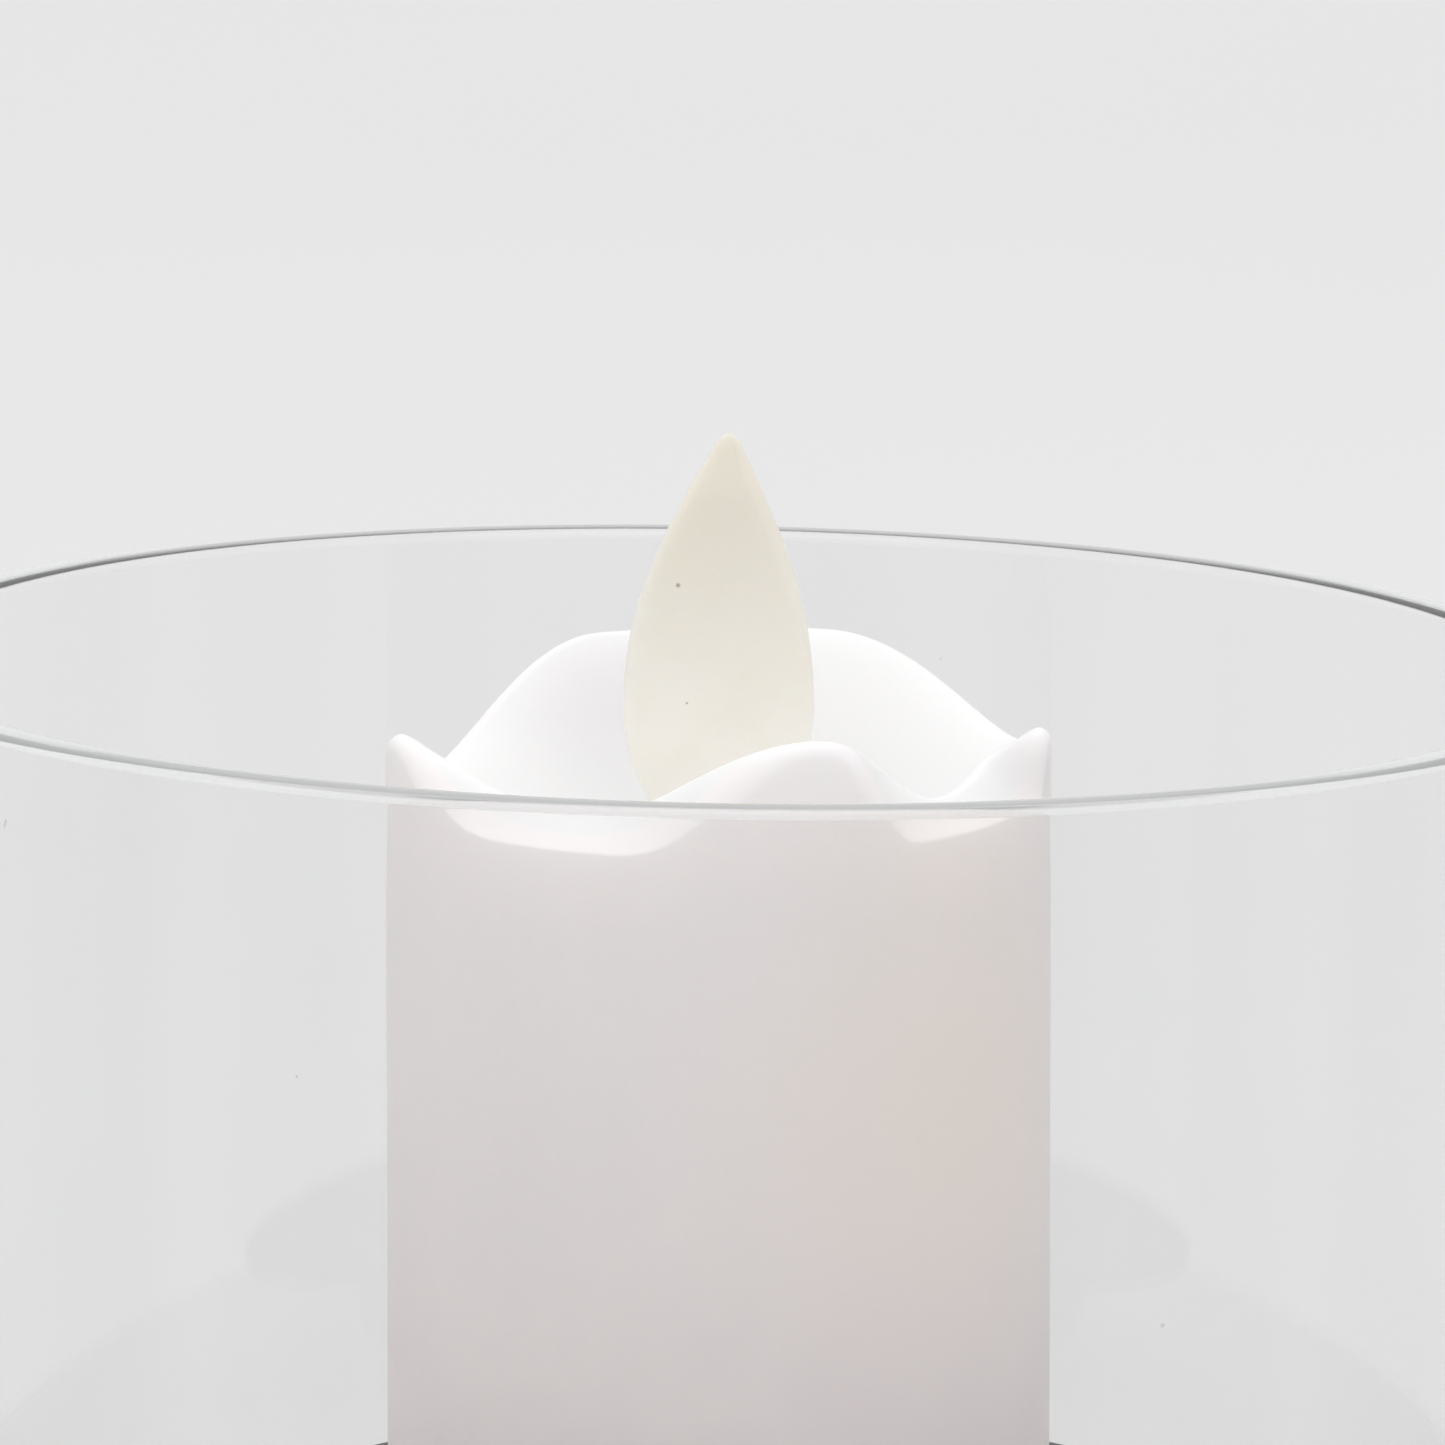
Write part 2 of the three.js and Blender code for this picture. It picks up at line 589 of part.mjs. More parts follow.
// ---------------------------------------------------------------- switch

function switchBody() {
  const [width, depth, height] = SWITCH_SIZE;
  const bottom = SWITCH_FLOOR + 0.1;
  const body = box(width, depth, bottom, bottom + height, 0, SWITCH_Y);
  const track = box(
    SLIDER_SIZE[0] + KNOB_TRAVEL + 0.8, SLIDER_SIZE[1] + 0.6, bottom - 1, bottom + 1.9, 0, SWITCH_Y,
  );
  return carve([body], [track]);
}

// At rest the slider is at the off end of its travel.
function switchSlider() {
  const x = -KNOB_TRAVEL / 2;
  const bottom = SWITCH_FLOOR + 0.3;
  const knob = box(...KNOB_SIZE, 0.25, bottom + 0.2, x, SWITCH_Y);
  const slider = box(SLIDER_SIZE[0], SLIDER_SIZE[1], bottom, bottom + SLIDER_SIZE[2], x, SWITCH_Y);
  return carve([knob, slider]);
}

function switchWire(side) {
  const bottom = SWITCH_FLOOR + SWITCH_SIZE[2] + 0.1 + FIT_GAP;
  const top = BOARD_BOTTOM - FIT_GAP;
  const points = [
    new THREE.Vector3(side * 2, SWITCH_Y, bottom),
    new THREE.Vector3(side * 2, SWITCH_Y, bottom + 2),
    new THREE.Vector3(side * 2.8, SWITCH_Y + 0.8, top - 2.2),
    new THREE.Vector3(side * 2.8, SWITCH_Y + 0.8, top),
  ];
  return rod(points, 0.45, 10);
}

// ---------------------------------------------------------------- assembly

const holder = new THREE.Group();
place(holder, 'base_body', baseBody(), greyWood());
place(holder, 'candle_cup', candleCup(), blackSteel());
place(holder, 'cup_screw', cupScrew(), steel());
[45, 135, 225, 315].forEach((degrees, i) => {
  place(holder, `felt_pad_${i + 1}`, feltPad(degrees), blackFelt());
});
place(holder, 'glass_cylinder', glassCylinder(), clearGlass());

place(candle, 'candle_shell', candleShell(), whitePlastic());
place(candle, 'flame', flame(), ivoryPlastic());
place(candle, 'flame_magnet', flameMagnet(), steel());
place(candle, 'pivot_wire', pivotWire(), steel());
place(candle, 'pivot_frame', pivotFrame(), whitePlastic());
POST_ANGLES.forEach((degrees, i) => {
  const at = around(POST_CIRCLE, degrees);
  place(candle, `frame_screw_${i + 1}`, screw(at, FRAME_TOP + REST_GAP, 6), steel());
});
place(candle, 'led', led(), ivoryPlastic());
[-1, 1].forEach((side, i) => {
  place(candle, `led_lead_${i + 1}`, ledLead(side), steel());
});
place(candle, 'coil_bobbin', coilBobbin(), blackPlastic());
place(candle, 'coil_winding', coilWinding(), copper());
place(candle, 'circuit_board', circuitBoard(), greenBoard());
place(candle, 'driver_chip', driverChip(), blackPlastic());
place(candle, 'capacitor', capacitor(), blackPlastic());
[0.5, 4].forEach((x, i) => {
  place(candle, `resistor_${i + 1}`, resistor(x), blackPlastic());
});
BOARD_SCREWS.forEach((at, i) => {
  place(candle, `board_screw_${i + 1}`, screw(at, BOARD_TOP + REST_GAP, 4.5), steel());
});
place(candle, 'chassis', chassis(), whitePlastic());
place(candle, 'battery_door', batteryDoor(), whitePlastic());
place(candle, 'battery_door_screw', doorScrew(), steel());
place(candle, 'coin_cell', coinCell(), steel());
place(candle, 'contact_negative', negativeContact(), steel());
place(candle, 'contact_positive', positiveContact(), steel());
place(candle, 'switch_body', switchBody(), blackPlastic());
place(candle, 'switch_slider', switchSlider(), blackPlastic());
[-1, 1].forEach((side, i) => {
  place(candle, `switch_wire_${i + 1}`, switchWire(side), blackPlastic());
});

holder.add(candle);

export default holder;
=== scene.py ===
"""Looks of the tealight holder: a glass cylinder on a grey wooden base, round a battery tealight in a
black metal cup."""

import math

import bmesh
import bpy
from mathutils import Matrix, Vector


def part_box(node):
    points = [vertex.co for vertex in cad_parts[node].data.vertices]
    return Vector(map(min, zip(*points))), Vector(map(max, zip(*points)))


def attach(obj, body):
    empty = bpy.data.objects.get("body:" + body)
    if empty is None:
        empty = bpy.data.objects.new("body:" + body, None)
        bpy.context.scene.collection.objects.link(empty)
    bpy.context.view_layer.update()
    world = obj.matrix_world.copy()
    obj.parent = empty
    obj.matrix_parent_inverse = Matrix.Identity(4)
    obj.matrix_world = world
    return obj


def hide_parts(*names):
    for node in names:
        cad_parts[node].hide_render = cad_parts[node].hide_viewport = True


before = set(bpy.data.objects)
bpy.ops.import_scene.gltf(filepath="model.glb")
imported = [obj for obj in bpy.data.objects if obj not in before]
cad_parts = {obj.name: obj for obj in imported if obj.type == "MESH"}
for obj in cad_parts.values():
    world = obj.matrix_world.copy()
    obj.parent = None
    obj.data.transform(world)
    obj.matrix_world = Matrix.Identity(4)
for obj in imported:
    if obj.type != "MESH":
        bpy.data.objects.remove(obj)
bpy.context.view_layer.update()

MM = 0.001
SHARP_EDGE = math.radians(38)      # steeper edges than this aren't smoothed over

# ---------------------------------------------------------------- sizes read from the frame, in mm


def node_box(name):
    lo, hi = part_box(name)
    return lo / MM, hi / MM


BASE_LO, BASE_HI = node_box("base_body")
CUP_LO, CUP_HI = node_box("candle_cup")
GLASS_LO, GLASS_HI = node_box("glass_cylinder")
SHELL_LO, SHELL_HI = node_box("candle_shell")
_, FLAME_HI = node_box("flame")

# Base and cup: inner sizes, as in part.mjs
FLANGE_TOP = 10.0
BOSS_RADIUS = 46.6
SHANK_HOLE = 1.3
HEAD_HOLE = 2.6
SCREW_SEAT = 5.0
CUP_INNER = 19.6
CUP_SHEET = 1.0
CUP_FLOOR = 14.0
CUP_FOOT_RADIUS = 12.0
CUP_EDGE_LIFT = 0.12               # the dished rim's outer edge over the rest of the rim

# Wavy lip: (degrees round from the front towards +X, height above the mean lip), as in part.mjs
LIP_WAVE = (
    (17, 1.45), (50, -2.9), (84, -0.5), (112, -2.5), (160, 2.15),
    (202, 2), (245, -4.5), (283, -0.5), (330, -3.6),
)
# The two front troughs end on a sloping ledge: (degrees of its middle, half its full part, half its
# whole length), with the ledge's outer edge at one depth under the mean lip
LEDGES = ((330, 12, 46), (52, 16, 32))
LEDGE_DEPTH = 5.3
SHELL_RADIUS = (SHELL_HI.x - SHELL_LO.x) / 2
SHELL_INNER = SHELL_RADIUS - 1.8
LIP_ROLL = 0.9                     # height and width of the lip's rounding where there is no ledge
LIP_WIDTH = 0.8
LEDGE_WIDTH = 1.8                  # what a ledge adds to it
LEDGE_BLEND = 0.85
CANDLE_FOOT = SHELL_LO.z
MEAN_LIP = SHELL_HI.z - max(height for _, height in LIP_WAVE)
BOWL_FLOOR = CANDLE_FOOT + 42.7
BOWL_UNDERSIDE = CANDLE_FOOT + 41.2
BOWL_HOLE = 4.2

# Flame vane: (height above the mean lip, half width), as in part.mjs
FLAME_SIDE = (
    (-9.4, 2.6), (-7.6, 2.8), (-6, 3.4), (-4.2, 4.4), (-1.8, 5.25),
    (1, 5.47), (5, 5.03), (9, 3.87), (12.6, 2.3), (15.2, 0.95),
)
FLAME_TIP = FLAME_HI.z - MEAN_LIP
FLAME_LEAN = 0.6
FLAME_HALF_THICKNESS = 0.8
FLAME_SPECKS = ((-2.3, 7.6, 0.2), (1.2, 14.7, 0.13), (-1.8, 0.8, 0.12))

GLASS_OUTER = (GLASS_HI.x - GLASS_LO.x) / 2
GLASS_WALL = 2.7
RIM_SLOPE = 0.018                  # the rim is cut a little out of square, higher at -X
MEAN_RIM = GLASS_HI.z - RIM_SLOPE * GLASS_OUTER
GROUND_FOOT = 0.7                  # the lower end is left ground, not polished
POLISHED_RIM = 0.6                 # the upper end is polished, but still a little milky

FIELD_WIDTH = 82.43                # what the picture spans at the tealight's axis
VIEW_ELEVATION = 9.56
VIEW_DISTANCE = 1100
AIM = Vector((0.23, 0, MEAN_RIM - 3.65))

# ---------------------------------------------------------------- node helpers


class Nodes:
    """A material's node tree, with short calls for the nodes used here."""

    def __init__(self, name):
        self.material = bpy.data.materials.new(name)
        self.material.use_nodes = True
        self.tree = self.material.node_tree
        self.tree.nodes.clear()
        self.output = self.tree.nodes.new("ShaderNodeOutputMaterial")
        self.coordinates = self.tree.nodes.new("ShaderNodeTexCoord").outputs["Object"]

    def add(self, kind, **values):
        node = self.tree.nodes.new(kind)
        for key, value in values.items():
            setattr(node, key, value)
        return node

    def feed(self, socket, value):
        if isinstance(value, bpy.types.NodeSocket):
            self.tree.links.new(value, socket)
        else:
            socket.default_value = value

    def shader(self, **inputs):
        node = self.add("ShaderNodeBsdfPrincipled")
        for key, value in inputs.items():
            self.feed(node.inputs[key.replace("_", " ")], value)
        return node

    def scaled(self, scale, turn=(0, 0, 0)):
        node = self.add("ShaderNodeMapping")
        self.feed(node.inputs["Vector"], self.coordinates)
        node.inputs["Scale"].default_value = scale
        node.inputs["Rotation"].default_value = turn
        return node.outputs["Vector"]

    def noise(self, scale, detail=2.0, roughness=0.5, vector=None, distortion=0.0):
        node = self.add("ShaderNodeTexNoise")
        self.feed(node.inputs["Vector"], vector or self.coordinates)
        node.inputs["Scale"].default_value = scale
        node.inputs["Detail"].default_value = detail
        node.inputs["Roughness"].default_value = roughness
        node.inputs["Distortion"].default_value = distortion
        return node.outputs["Fac"]

    def voronoi(self, scale, vector=None):
        node = self.add("ShaderNodeTexVoronoi", feature="F1")
        self.feed(node.inputs["Vector"], vector or self.coordinates)
        node.inputs["Scale"].default_value = scale
        return node.outputs["Distance"]

    def spread(self, value, low, high, to_low=0.0, to_high=1.0):
        node = self.add("ShaderNodeMapRange")
        node.interpolation_type = "SMOOTHSTEP"
        self.feed(node.inputs["Value"], value)
        for key, number in zip(("From Min", "From Max", "To Min", "To Max"), (low, high, to_low, to_high)):
            node.inputs[key].default_value = number
        return node.outputs["Result"]

    def math(self, operation, a, b):
        node = self.add("ShaderNodeMath", operation=operation)
        self.feed(node.inputs[0], a)
        self.feed(node.inputs[1], b)
        return node.outputs["Value"]

    def blend(self, factor, a, b):
        node = self.add("ShaderNodeMix", data_type="RGBA")
        self.feed(node.inputs["Factor"], factor)
        self.feed(node.inputs["A"], a)
        self.feed(node.inputs["B"], b)
        return node.outputs["Result"]

    def axis(self, letter):
        node = self.add("ShaderNodeSeparateXYZ")
        self.feed(node.inputs[0], self.coordinates)
        return node.outputs[letter]

    def bump(self, height, strength, distance):
        node = self.add("ShaderNodeBump")
        self.feed(node.inputs["Height"], height)
        node.inputs["Strength"].default_value = strength
        node.inputs["Distance"].default_value = distance
        return node.outputs["Normal"]

    def near(self, place, radius):
        """1 at a place given in mm, falling to 0 at radius mm from it."""
        node = self.add("ShaderNodeVectorMath", operation="DISTANCE")
        self.feed(node.inputs[0], self.coordinates)
        node.inputs[1].default_value = [value * MM for value in place]
        return self.spread(node.outputs["Value"], 0, radius * MM, 1, 0)

    def mix_shader(self, factor, a, b):
        node = self.add("ShaderNodeMixShader")
        self.feed(node.inputs["Fac"], factor)
        self.feed(node.inputs[1], a)
        self.feed(node.inputs[2], b)
        return node.outputs[0]

    def finish(self, shader):
        self.tree.links.new(shader, self.output.inputs["Surface"])
        return self.material


def rgb(r, g, b):
    return (r, g, b, 1.0)


# ---------------------------------------------------------------- materials


def clear_glass():
    """Clear drawn tube: faint vertical draw streaks, a few specks, a rim that is milky except at its
    inner edge, and a foot ground matt white."""
    m = Nodes("clear_glass")
    streaks = m.noise(1.0, 3.0, 0.6, m.scaled((260, 260, 9)))
    waves = m.noise(1.0, 1.0, 0.4, m.scaled((45, 45, 6)))
    relief = m.math("ADD", streaks, m.math("MULTIPLY", waves, 1.6))
    haze = m.spread(m.noise(1.0, 2.0, 0.5, m.scaled((110, 110, 7))), 0.35, 0.7)
    glass = m.shader(
        Base_Color=m.blend(haze, rgb(0.957, 0.958, 0.958), rgb(0.938, 0.939, 0.94)),
        Roughness=0.0,
        IOR=1.48,
        Transmission_Weight=1.0,
        Normal=m.bump(relief, 0.12, 0.00004),
    )
    clear = m.add("ShaderNodeBsdfTransparent")
    clear.inputs["Color"].default_value = rgb(0.97, 0.975, 0.975)
    path = m.add("ShaderNodeLightPath")
    body = m.mix_shader(path.outputs["Is Shadow Ray"], glass.outputs[0], clear.outputs[0])
    speck = m.spread(m.voronoi(95), 0.009, 0.016, 1, 0)
    stretched = m.voronoi(1.0, m.scaled((70, 70, 11)))
    scratch = m.spread(stretched, 0.007, 0.012, 1, 0)
    marks = m.math("MULTIPLY", m.math("MAXIMUM", speck, scratch), 0.4)
    dust = m.shader(Base_Color=m.blend(haze, rgb(0.4, 0.4, 0.41), rgb(0.5, 0.5, 0.5)), Roughness=0.8)
    body = m.mix_shader(marks, body, dust.outputs[0])
    ground = m.shader(
        Base_Color=m.blend(m.noise(2500, 2.0), rgb(0.86, 0.87, 0.87), rgb(0.93, 0.94, 0.94)),
        Roughness=0.7,
    )
    height = m.axis("Z")
    level = m.math("ADD", height, m.math("MULTIPLY", m.axis("X"), RIM_SLOPE))
    rim = m.math("GREATER_THAN", level, (MEAN_RIM - POLISHED_RIM) * MM)
    across = m.add("ShaderNodeVectorMath", operation="LENGTH")
    m.feed(across.inputs[0], m.scaled((1, 1, 0)))
    inner = GLASS_OUTER - GLASS_WALL
    milk = m.spread(across.outputs["Value"], (inner + 0.4) * MM, (inner + 1.1) * MM, 0.12, 0.42)
    body = m.mix_shader(m.math("MULTIPLY", rim, milk), body, ground.outputs[0])
    foot = m.math("LESS_THAN", height, (GLASS_LO.z + GROUND_FOOT) * MM)
    return m.finish(m.mix_shader(foot, body, ground.outputs[0]))


def shell_plastic():
    """Translucent white moulded shell, neutral in the bowl. Down the side its colour holds painted light
    and shade: pale at the lip, painted light for light shining through the thin lip, then pinker, greyer
    and darker, painted shade for the dark inside behind the wall. Painted warm light at the right front,
    and painted shade on the bowl's back-left wall and on the outer face of the right crest."""
    m = Nodes("shell_plastic")
    cloud = m.spread(m.noise(55, 3.0, 0.55), 0.35, 0.68)
    height = m.axis("Z")
    # painted light and shade: pale and neutral at the lip, where light shines through the thin lip, pinker
    # and darker below it
    lip_light_to_shade = m.spread(height, (MEAN_LIP + 1) * MM, (MEAN_LIP - 10) * MM)
    # painted shade: darker still towards the foot, for the dark inside behind the translucent wall
    depth = m.spread(height, (MEAN_LIP - 4) * MM, CANDLE_FOOT * MM)
    side = m.blend(lip_light_to_shade, rgb(0.945, 0.92, 0.925), rgb(0.93, 0.868, 0.865))
    side = m.blend(depth, side, rgb(0.765, 0.685, 0.69))
    side = m.blend(m.math("MULTIPLY", cloud, 0.35), side, rgb(0.895, 0.83, 0.81))
    # painted warm light on the right front of the side
    painted_warm_light = m.near((13.5, -14.0, MEAN_LIP - 19), 21)
    side = m.blend(m.math("MULTIPLY", painted_warm_light, 0.55), side, rgb(0.93, 0.79, 0.7))
    radius = m.add("ShaderNodeVectorMath", operation="LENGTH")
    m.feed(radius.inputs[0], m.scaled((1, 1, 0)))
    inside = m.spread(radius.outputs["Value"], (SHELL_RADIUS - 0.7) * MM, (SHELL_RADIUS - 1.3) * MM)
    bowl = m.blend(cloud, rgb(0.873, 0.873, 0.876), rgb(0.88, 0.878, 0.878))
    # painted shade on the bowl's back-left wall beside the flame
    painted_bowl_shade = m.near((-7.5, 15.0, MEAN_LIP - 1.6), 10)
    bowl = m.blend(m.math("MULTIPLY", painted_bowl_shade, 0.8), bowl, rgb(0.79, 0.775, 0.79))
    tinted = m.blend(inside, side, bowl)
    # painted shade on the outer face of the lip's right crest
    painted_ear_shade = m.near((17.8, -4.2, MEAN_LIP - 2.2), 4)
    tinted = m.blend(m.math("MULTIPLY", painted_ear_shade, 0.75), tinted, rgb(0.77, 0.75, 0.755))
    grain = m.noise(2600, 2.0, 0.6)
    swell = m.noise(120, 2.0, 0.5)
    relief = m.math("ADD", grain, m.math("MULTIPLY", swell, 6.0))
    shine = m.spread(m.noise(300, 2.0), 0.3, 0.7, 0.4, 0.5)
    plastic = m.shader(
        Base_Color=tinted,
        Roughness=shine,
        IOR=1.49,
        Specular_IOR_Level=0.25,
        Subsurface_Weight=0.4,
        Subsurface_Radius=(0.0034, 0.003, 0.0027),
        Subsurface_Scale=1.0,
        Normal=m.bump(relief, 0.25, 0.00001),
        Coat_Weight=0.03,
        Coat_Roughness=0.15,
    )
    return m.finish(plastic.outputs[0])


def flame_plastic():
    """Ivory vane with a few tiny dark specks. It is paler towards its foot: painted light for the light
    the bowl throws up onto it.
    """
    m = Nodes("flame_plastic")
    height = m.axis("Z")
    low, high = (MEAN_LIP - 4) * MM, (MEAN_LIP + FLAME_TIP) * MM
    # painted light: paler low down where light bounced from the bowl falls, darker towards the tip
    rise = m.spread(height, low, high)
    ivory_and_painted_bounce = m.blend(rise, rgb(0.885, 0.862, 0.815), rgb(0.79, 0.755, 0.668))
    cloud = m.spread(m.noise(180, 3.0, 0.6), 0.35, 0.7)
    clouded = m.blend(m.math("MULTIPLY", cloud, 0.3), ivory_and_painted_bounce, rgb(0.815, 0.768, 0.655))
    specked = clouded
    for x, above_lip, radius in FLAME_SPECKS:
        spot = m.near((x, -FLAME_HALF_THICKNESS, MEAN_LIP + above_lip), radius)
        specked = m.blend(m.math("MULTIPLY", spot, 0.8), specked, rgb(0.22, 0.13, 0.07))
    relief = m.noise(900, 3.0, 0.6)
    plastic = m.shader(
        Base_Color=specked,
        Roughness=m.spread(m.noise(240, 2.0), 0.3, 0.7, 0.3, 0.4),
        IOR=1.49,
        Subsurface_Weight=0.35,
        Subsurface_Radius=(0.002, 0.0015, 0.001),
        Subsurface_Scale=1.0,
        Normal=m.bump(relief, 0.2, 0.00001),
        Coat_Weight=0.15,
        Coat_Roughness=0.1,
    )
    return m.finish(plastic.outputs[0])


def grey_wood():
    """Grey-washed turned wood: long grain with paler wash left in the pores, satin sealed."""
    m = Nodes("grey_wood")
    figure = m.noise(1.0, 6.0, 0.62, m.scaled((10, 150, 90)), 0.7)
    rings = m.noise(1.0, 2.0, 0.5, m.scaled((3, 60, 40)), 1.2)
    pores = m.noise(1.0, 3.0, 0.7, m.scaled((55, 1400, 900)))
    tone = m.spread(m.math("ADD", figure, m.math("MULTIPLY", rings, 0.6)), 0.55, 1.1)
    washed = m.blend(tone, rgb(0.33, 0.318, 0.298), rgb(0.55, 0.54, 0.515))
    pored = m.blend(m.spread(pores, 0.57, 0.7), washed, rgb(0.2, 0.188, 0.172))
    relief = m.math("ADD", figure, m.math("MULTIPLY", pores, 0.7))
    sealed = m.shader(
        Base_Color=pored,
        Roughness=m.spread(figure, 0.3, 0.7, 0.5, 0.64),
        Normal=m.bump(relief, 0.35, 0.00006),
        Coat_Weight=0.08,
        Coat_Roughness=0.3,
    )
    return m.finish(sealed.outputs[0])


def powder_coat():
    """Matt black powder coat with its fine orange peel, rubbed a little paler in places."""
    m = Nodes("powder_coat")
    peel = m.noise(1500, 3.0, 0.6)
    rub = m.spread(m.noise(70, 4.0, 0.65), 0.45, 0.75)
    coat = m.shader(
        Base_Color=m.blend(rub, rgb(0.01, 0.0095, 0.0105), rgb(0.02, 0.0195, 0.0205)),
        Roughness=m.spread(peel, 0.3, 0.7, 0.48, 0.6),
        Specular_IOR_Level=0.25,
        Normal=m.bump(peel, 0.4, 0.00004),
    )
    return m.finish(coat.outputs[0])


def black_felt():
    m = Nodes("black_felt")
    fibres = m.noise(1800, 6.0, 0.8, None, 1.5)
    tone = m.blend(m.spread(fibres, 0.35, 0.7), rgb(0.008, 0.008, 0.009), rgb(0.05, 0.049, 0.051))
    felt = m.shader(
        Base_Color=tone,
        Roughness=0.95,
        Normal=m.bump(fibres, 0.9, 0.0003),
        Sheen_Weight=0.4,
        Sheen_Roughness=0.5,
    )
    return m.finish(felt.outputs[0])


def moulded(name, dark, light, rough, speckle=1400):
    """Moulded plastic: fine spark-eroded grain and slow colour drift."""
    m = Nodes(name)
    drift = m.spread(m.noise(130, 3.0), 0.3, 0.7)
    grain = m.noise(speckle, 3.0, 0.65)
    plastic = m.shader(
        Base_Color=m.blend(drift, dark, light),
        Roughness=m.spread(grain, 0.3, 0.7, rough - 0.06, rough + 0.06),
        Normal=m.bump(grain, 0.4, 0.00002),
    )
    return m.finish(plastic.outputs[0])


def metal(name, dark, light, rough, stretch=(900, 900, 60)):
    """Bright metal with drawn or rolled marks."""
    m = Nodes(name)
    marks = m.noise(1.0, 4.0, 0.6, m.scaled(stretch))
    tarnish = m.spread(m.noise(320, 3.0), 0.35, 0.75)
    bright = m.shader(
        Base_Color=m.blend(tarnish, light, dark),
        Metallic=1.0,
        Roughness=m.spread(marks, 0.3, 0.7, rough - 0.07, rough + 0.1),
        Normal=m.bump(marks, 0.25, 0.00001),
    )
    return m.finish(bright.outputs[0])


def solder_mask():
    """Green circuit board: mask over faint copper tracks."""
    m = Nodes("solder_mask")
    tracks = m.add("ShaderNodeTexBrick")
    m.feed(tracks.inputs["Vector"], m.scaled((420, 420, 420), (0, 0, 0.785)))
    tracks.inputs["Mortar Size"].default_value = 0.06
    tracks.inputs["Color1"].default_value = rgb(0.016, 0.105, 0.04)
    tracks.inputs["Color2"].default_value = rgb(0.018, 0.118, 0.045)
    tracks.inputs["Mortar"].default_value = rgb(0.035, 0.19, 0.075)
    board = m.shader(
        Base_Color=tracks.outputs["Color"],
        Roughness=m.spread(m.noise(900, 2.0), 0.3, 0.7, 0.28, 0.4),
        Normal=m.bump(tracks.outputs["Fac"], 0.3, 0.00003),
        Coat_Weight=0.3,
        Coat_Roughness=0.15,
    )
    return m.finish(board.outputs[0])


def led_epoxy():
    m = Nodes("led_epoxy")
    haze = m.spread(m.noise(900, 3.0), 0.3, 0.7)
    epoxy = m.shader(
        Base_Color=m.blend(haze, rgb(0.93, 0.84, 0.5), rgb(0.95, 0.9, 0.66)),
        Roughness=m.spread(haze, 0.0, 1.0, 0.05, 0.14),
        IOR=1.54,
        Transmission_Weight=0.6,
    )
    return m.finish(epoxy.outputs[0])


def enamelled_copper():
    """Layered turns of fine enamelled wire."""
    m = Nodes("enamelled_copper")
    turns = m.add("ShaderNodeTexWave", wave_type="BANDS", bands_direction="Z")
    m.feed(turns.inputs["Vector"], m.coordinates)
    turns.inputs["Scale"].default_value = 900
    turns.inputs["Distortion"].default_value = 0.5
    copper = m.shader(
        Base_Color=m.blend(turns.outputs["Fac"], rgb(0.34, 0.10, 0.03), rgb(0.72, 0.3, 0.12)),
        Metallic=0.85,
        Roughness=m.spread(turns.outputs["Fac"], 0, 1, 0.42, 0.25),
        Normal=m.bump(turns.outputs["Fac"], 0.8, 0.00005),
        Coat_Weight=0.6,
        Coat_Roughness=0.1,
    )
    return m.finish(copper.outputs[0])


GLASS = clear_glass()
SHELL = shell_plastic()
IVORY = flame_plastic()
WOOD = grey_wood()
POWDER_COAT = powder_coat()
FELT = black_felt()
NATURAL = moulded("natural_plastic", rgb(0.72, 0.7, 0.66), rgb(0.8, 0.785, 0.75), 0.42)
WHITE = moulded("white_plastic", rgb(0.74, 0.73, 0.72), rgb(0.82, 0.81, 0.8), 0.45)
BLACK = moulded("black_plastic", rgb(0.012, 0.012, 0.013), rgb(0.03, 0.03, 0.032), 0.42)
CHIP = moulded("chip_epoxy", rgb(0.012, 0.012, 0.012), rgb(0.026, 0.026, 0.027), 0.6, 3200)
SLEEVE = moulded("capacitor_sleeve", rgb(0.012, 0.016, 0.04), rgb(0.02, 0.027, 0.06), 0.25)
STEEL = metal("zinc_steel", rgb(0.42, 0.42, 0.44), rgb(0.66, 0.66, 0.68), 0.3)
NICKEL = metal("nickel", rgb(0.55, 0.53, 0.49), rgb(0.74, 0.72, 0.68), 0.22, (700, 60, 700))
BOARD = solder_mask()
EPOXY = led_epoxy()
COPPER = enamelled_copper()

# ---------------------------------------------------------------- mesh helpers


def mesh_object(name, verts, faces, material, subdivisions=0):
    """An object from vertices in mm, smooth shaded, with its faces turned outwards."""
    mesh = bpy.data.meshes.new(name)
    mesh.from_pydata([Vector(v) * MM for v in verts], [], faces)
    shape = bmesh.new()
    shape.from_mesh(mesh)
    bmesh.ops.recalc_face_normals(shape, faces=shape.faces)
    shape.to_mesh(mesh)
    shape.free()
    mesh.polygons.foreach_set("use_smooth", [True] * len(mesh.polygons))
    if not subdivisions:
        mesh.set_sharp_from_angle(angle=SHARP_EDGE)
    mesh.materials.append(material)
    obj = bpy.data.objects.new(name, mesh)
    bpy.context.scene.collection.objects.link(obj)
    if subdivisions:
        modifier = obj.modifiers.new("smooth", "SUBSURF")
        modifier.levels = subdivisions
        modifier.render_levels = subdivisions
    return obj


def stand_for(obj, body, slot, *nodes):
    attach(obj, body)
    if nodes:
        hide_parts(*nodes)
    return obj


def direction(degrees):
    """Unit vector at an angle round from the front towards +X."""
    angle = math.radians(degrees)
    return math.sin(angle), -math.cos(angle)


